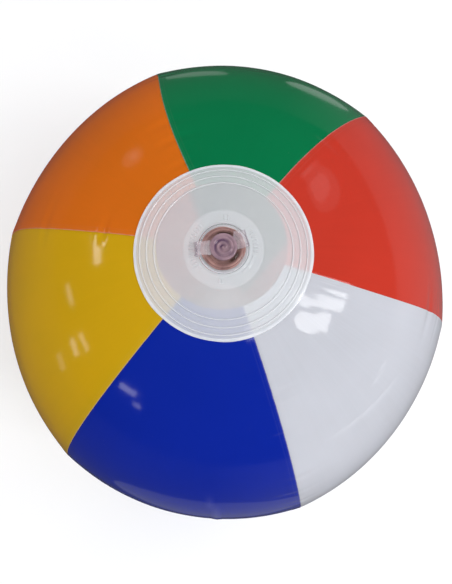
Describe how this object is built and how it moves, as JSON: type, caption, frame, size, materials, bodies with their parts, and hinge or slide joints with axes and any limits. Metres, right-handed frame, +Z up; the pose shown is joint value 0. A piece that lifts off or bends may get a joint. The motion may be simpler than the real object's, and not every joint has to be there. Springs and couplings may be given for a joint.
{
  "type": "inflatable beach ball",
  "caption": "Round inflatable ball of coloured lens-shaped film panels lapped at their seams, closed by two translucent end discs, with a push-in air valve, check flap and tethered plug.",
  "frame": {"origin": "centre of the flat contact patch under the lower end disc, where the ball rests", "axes": "+Z up the valve's axis from the lower end disc to the valve; +X along the seam between the red and the white panel"},
  "size_m": [0.32, 0.32, 0.3236],
  "materials": {
    "film_red": "glossy vinyl film",
    "film_green": "glossy vinyl film",
    "film_orange": "glossy vinyl film",
    "film_yellow": "glossy vinyl film",
    "film_blue": "glossy vinyl film",
    "film_white": "glossy vinyl film",
    "film_clear": "glossy translucent vinyl film with embossed weld rings",
    "valve_vinyl": "glossy clear moulded vinyl",
    "flap_film": "clear vinyl film"
  },
  "bodies": {
    "ball": {"panel_red": "film_red", "panel_green": "film_green", "panel_orange": "film_orange", "panel_yellow": "film_yellow", "panel_blue": "film_blue", "panel_white": "film_white", "upper_disc": "film_clear", "lower_disc": "film_clear", "valve_flange": "valve_vinyl", "valve_skirt": "valve_vinyl"},
    "stem": {"valve_stem": "valve_vinyl", "tether_ring": "valve_vinyl", "flap_tab": "flap_film"},
    "flap": {"check_flap": "flap_film"},
    "plug": {"valve_plug": "valve_vinyl", "tether_strap": "valve_vinyl"}
  },
  "joints": [
    {"name": "stem_pull", "type": "slide", "parent": "ball", "child": "stem", "axis": [0, 0, 1], "range_m": [0, 0.014], "deforming": ["valve_skirt"]},
    {"name": "plug_pull", "type": "slide", "parent": "stem", "child": "plug", "axis": [0, 0, 1], "range_m": [0, 0.009], "deforming": ["tether_strap"]},
    {"name": "flap_open", "type": "hinge", "parent": "stem", "child": "flap", "pos_m": [0.0052, 0, 0.30505], "axis": [0, -1, 0], "range_deg": [0, 60], "stiffness_Nm_per_rad": 0.00002, "springref_deg": -28.65}
  ]
}
